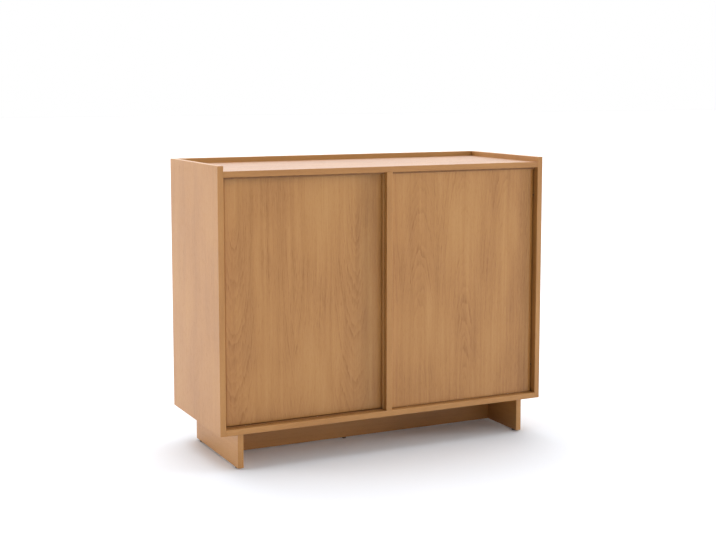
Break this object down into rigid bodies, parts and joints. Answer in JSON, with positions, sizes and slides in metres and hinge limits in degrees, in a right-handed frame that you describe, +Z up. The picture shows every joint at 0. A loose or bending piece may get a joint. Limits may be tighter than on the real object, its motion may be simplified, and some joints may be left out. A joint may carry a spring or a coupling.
{
  "type": "sliding door cabinet",
  "caption": "Low oak-veneer cabinet with a lipped tray top, handle-less bypass sliding doors behind a fixed centre stile, shelves inside and a panel-leg base.",
  "frame": {"origin": "on the floor under the middle of the cabinet", "axes": "+X to the right along the width, +Y from the front to the back, +Z up"},
  "size_m": [1.12, 0.438, 0.912],
  "materials": {
    "oak_veneer": "satin lacquered oak veneer",
    "oak_interior": "satin lacquered oak veneer, inside",
    "bronze_track": "bronze anodised extrusion",
    "zinc_steel": "zinc plated",
    "black_plastic": "moulded, matt",
    "nylon": "moulded nylon",
    "rubber": "soft rubber"
  },
  "bodies": {
    "carcass": {"back_panel": "oak_interior", "base_screws": "zinc_steel", "base_stretcher": "oak_veneer", "bottom_panel": "oak_veneer", "bottom_track": "bronze_track", "centre_mullion": "oak_veneer", "centre_partition": "oak_interior", "door_bumpers": "rubber", "gallery_rail": "oak_veneer", "left_leg_panel": "oak_veneer", "left_shelf": "oak_interior", "left_side_panel": "oak_veneer", "leg_glides": "black_plastic", "right_leg_panel": "oak_veneer", "right_shelf": "oak_interior", "right_side_panel": "oak_veneer", "shelf_pins": "zinc_steel", "stretcher_foot": "black_plastic", "top_panel": "oak_veneer", "top_track": "bronze_track"},
    "left_door": {"left_door_axles": "zinc_steel", "left_door_guides": "nylon", "left_door_panel": "oak_veneer", "left_door_roller_housings": "black_plastic"},
    "right_door": {"right_door_axles": "zinc_steel", "right_door_guides": "nylon", "right_door_panel": "oak_veneer", "right_door_roller_housings": "black_plastic"},
    "left_door_left_roller": {"left_door_left_wheel": "nylon"},
    "left_door_right_roller": {"left_door_right_wheel": "nylon"},
    "right_door_left_roller": {"right_door_left_wheel": "nylon"},
    "right_door_right_roller": {"right_door_right_wheel": "nylon"}
  },
  "joints": [
    {"name": "left_door_slide", "type": "slide", "parent": "carcass", "child": "left_door", "axis": [1, 0, 0], "range_m": [0, 0.525]},
    {"name": "right_door_slide", "type": "slide", "parent": "carcass", "child": "right_door", "axis": [1, 0, 0], "range_m": [-0.525, 0]},
    {"name": "left_door_left_roller_spin", "type": "hinge", "parent": "left_door", "child": "left_door_left_roller", "pos_m": [-0.451, -0.1815, 0.1398], "axis": [0, 1, 0], "continuous": true},
    {"name": "left_door_right_roller_spin", "type": "hinge", "parent": "left_door", "child": "left_door_right_roller", "pos_m": [-0.074, -0.1815, 0.1398], "axis": [0, 1, 0], "continuous": true},
    {"name": "right_door_left_roller_spin", "type": "hinge", "parent": "right_door", "child": "right_door_left_roller", "pos_m": [0.074, -0.196, 0.1398], "axis": [0, 1, 0], "continuous": true},
    {"name": "right_door_right_roller_spin", "type": "hinge", "parent": "right_door", "child": "right_door_right_roller", "pos_m": [0.451, -0.196, 0.1398], "axis": [0, 1, 0], "continuous": true}
  ],
  "couplings": [
    {"joint": "left_door_left_roller_spin", "follows": "left_door_slide", "rad_per_m": 125},
    {"joint": "left_door_right_roller_spin", "follows": "left_door_slide", "rad_per_m": 125},
    {"joint": "right_door_left_roller_spin", "follows": "right_door_slide", "rad_per_m": 125},
    {"joint": "right_door_right_roller_spin", "follows": "right_door_slide", "rad_per_m": 125}
  ]
}
